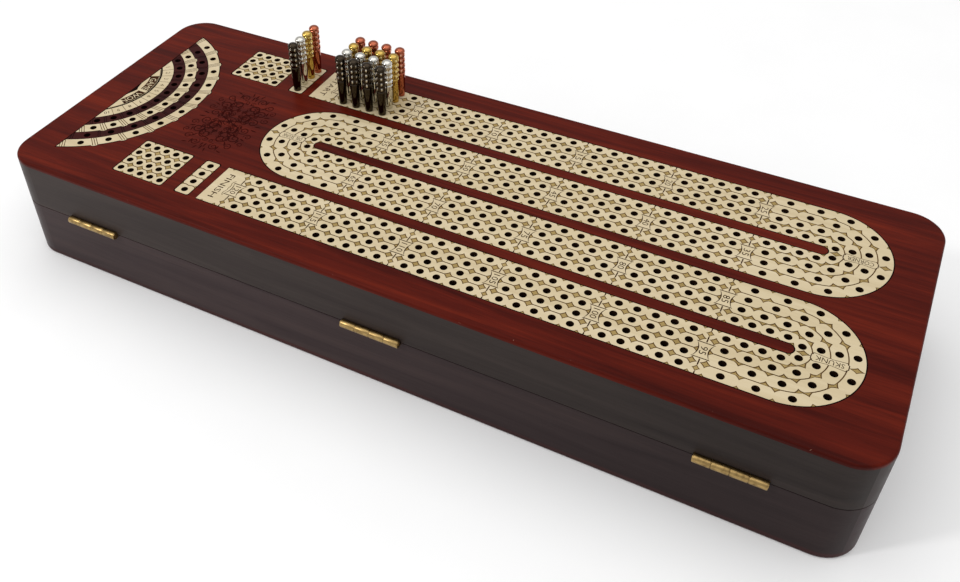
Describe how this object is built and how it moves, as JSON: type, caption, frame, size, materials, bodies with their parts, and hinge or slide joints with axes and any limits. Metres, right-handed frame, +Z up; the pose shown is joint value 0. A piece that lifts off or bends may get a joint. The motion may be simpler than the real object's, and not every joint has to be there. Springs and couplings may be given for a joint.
{
  "type": "cribbage board box",
  "caption": "Hinged wooden box whose lid is an inlaid cribbage board, with metal scoring pegs standing in the lid's holes and room for cards inside.",
  "frame": {"origin": "centre of the box's underside, on the surface it stands on", "axes": "+X along the box towards the end with the games-won arcs, +Y towards the hinges at the back, +Z up through the playing surface"},
  "size_m": [0.3744, 0.1412, 0.0775],
  "materials": {
    "wall_wood": "satin lacquered dark hardwood",
    "top_wood": "satin lacquered red-brown hardwood",
    "core_wood": "plain dark wood",
    "maple": "satin lacquered pale maple with engraved lines",
    "burnt_maple": "dark burnt wood",
    "felt": "short felt",
    "brass": "aged brass",
    "magnet_steel": "nickel plated magnet",
    "peg_black": "polished black nickel",
    "peg_silver": "polished nickel",
    "peg_gold": "polished brass",
    "peg_copper": "polished copper plate"
  },
  "bodies": {
    "tray": {"tray_front_wall": "wall_wood", "tray_back_wall": "wall_wood", "tray_left_wall": "wall_wood", "tray_right_wall": "wall_wood", "bottom_board": "top_wood", "tray_lining": "felt", "divider_left": "core_wood", "divider_right": "core_wood", "tray_magnets": "magnet_steel", "tray_hinge_screws": "brass", "hinge_a_tray_leaf": "brass", "hinge_a_pin": "brass", "hinge_b_tray_leaf": "brass", "hinge_b_pin": "brass", "hinge_c_tray_leaf": "brass", "hinge_c_pin": "brass"},
    "lid": {"lid_front_wall": "wall_wood", "lid_back_wall": "wall_wood", "lid_left_wall": "wall_wood", "lid_right_wall": "wall_wood", "core_board": "core_wood", "top_sheet": "top_wood", "lid_lining": "felt", "lid_magnets": "magnet_steel", "lid_hinge_screws": "brass", "track_inlay": "maple", "score_field_front": "maple", "score_field_back": "maple", "score_strip_front": "maple", "score_strip_back": "maple", "games_arc_light_outer": "maple", "games_arc_light_inner": "maple", "games_number_band": "maple", "games_title_plate": "maple", "games_arc_dark_outer": "burnt_maple", "games_arc_dark_inner": "burnt_maple", "hinge_a_lid_leaf": "brass", "hinge_b_lid_leaf": "brass", "hinge_c_lid_leaf": "brass"},
    "peg_black_1": {"peg_black_1": "peg_black"},
    "peg_black_2": {"peg_black_2": "peg_black"},
    "peg_black_3": {"peg_black_3": "peg_black"},
    "peg_black_4": {"peg_black_4": "peg_black"},
    "peg_black_5": {"peg_black_5": "peg_black"},
    "peg_silver_1": {"peg_silver_1": "peg_silver"},
    "peg_silver_2": {"peg_silver_2": "peg_silver"},
    "peg_silver_3": {"peg_silver_3": "peg_silver"},
    "peg_silver_4": {"peg_silver_4": "peg_silver"},
    "peg_silver_5": {"peg_silver_5": "peg_silver"},
    "peg_gold_1": {"peg_gold_1": "peg_gold"},
    "peg_gold_2": {"peg_gold_2": "peg_gold"},
    "peg_gold_3": {"peg_gold_3": "peg_gold"},
    "peg_gold_4": {"peg_gold_4": "peg_gold"},
    "peg_gold_5": {"peg_gold_5": "peg_gold"},
    "peg_copper_1": {"peg_copper_1": "peg_copper"},
    "peg_copper_2": {"peg_copper_2": "peg_copper"},
    "peg_copper_3": {"peg_copper_3": "peg_copper"},
    "peg_copper_4": {"peg_copper_4": "peg_copper"},
    "peg_copper_5": {"peg_copper_5": "peg_copper"}
  },
  "joints": [
    {"name": "lid_hinge", "type": "hinge", "parent": "tray", "child": "lid", "pos_m": [0, 0.07035, 0.029], "axis": [-1, 0, 0], "range_deg": [0, 110]},
    {"name": "peg_black_1_pull", "type": "slide", "parent": "lid", "child": "peg_black_1", "axis": [0, 0, 1], "range_m": [0, 0.012]},
    {"name": "peg_black_2_pull", "type": "slide", "parent": "lid", "child": "peg_black_2", "axis": [0, 0, 1], "range_m": [0, 0.012]},
    {"name": "peg_black_3_pull", "type": "slide", "parent": "lid", "child": "peg_black_3", "axis": [0, 0, 1], "range_m": [0, 0.012]},
    {"name": "peg_black_4_pull", "type": "slide", "parent": "lid", "child": "peg_black_4", "axis": [0, 0, 1], "range_m": [0, 0.012]},
    {"name": "peg_black_5_pull", "type": "slide", "parent": "lid", "child": "peg_black_5", "axis": [0, 0, 1], "range_m": [0, 0.012]},
    {"name": "peg_silver_1_pull", "type": "slide", "parent": "lid", "child": "peg_silver_1", "axis": [0, 0, 1], "range_m": [0, 0.012]},
    {"name": "peg_silver_2_pull", "type": "slide", "parent": "lid", "child": "peg_silver_2", "axis": [0, 0, 1], "range_m": [0, 0.012]},
    {"name": "peg_silver_3_pull", "type": "slide", "parent": "lid", "child": "peg_silver_3", "axis": [0, 0, 1], "range_m": [0, 0.012]},
    {"name": "peg_silver_4_pull", "type": "slide", "parent": "lid", "child": "peg_silver_4", "axis": [0, 0, 1], "range_m": [0, 0.012]},
    {"name": "peg_silver_5_pull", "type": "slide", "parent": "lid", "child": "peg_silver_5", "axis": [0, 0, 1], "range_m": [0, 0.012]},
    {"name": "peg_gold_1_pull", "type": "slide", "parent": "lid", "child": "peg_gold_1", "axis": [0, 0, 1], "range_m": [0, 0.012]},
    {"name": "peg_gold_2_pull", "type": "slide", "parent": "lid", "child": "peg_gold_2", "axis": [0, 0, 1], "range_m": [0, 0.012]},
    {"name": "peg_gold_3_pull", "type": "slide", "parent": "lid", "child": "peg_gold_3", "axis": [0, 0, 1], "range_m": [0, 0.012]},
    {"name": "peg_gold_4_pull", "type": "slide", "parent": "lid", "child": "peg_gold_4", "axis": [0, 0, 1], "range_m": [0, 0.012]},
    {"name": "peg_gold_5_pull", "type": "slide", "parent": "lid", "child": "peg_gold_5", "axis": [0, 0, 1], "range_m": [0, 0.012]},
    {"name": "peg_copper_1_pull", "type": "slide", "parent": "lid", "child": "peg_copper_1", "axis": [0, 0, 1], "range_m": [0, 0.012]},
    {"name": "peg_copper_2_pull", "type": "slide", "parent": "lid", "child": "peg_copper_2", "axis": [0, 0, 1], "range_m": [0, 0.012]},
    {"name": "peg_copper_3_pull", "type": "slide", "parent": "lid", "child": "peg_copper_3", "axis": [0, 0, 1], "range_m": [0, 0.012]},
    {"name": "peg_copper_4_pull", "type": "slide", "parent": "lid", "child": "peg_copper_4", "axis": [0, 0, 1], "range_m": [0, 0.012]},
    {"name": "peg_copper_5_pull", "type": "slide", "parent": "lid", "child": "peg_copper_5", "axis": [0, 0, 1], "range_m": [0, 0.012]}
  ]
}
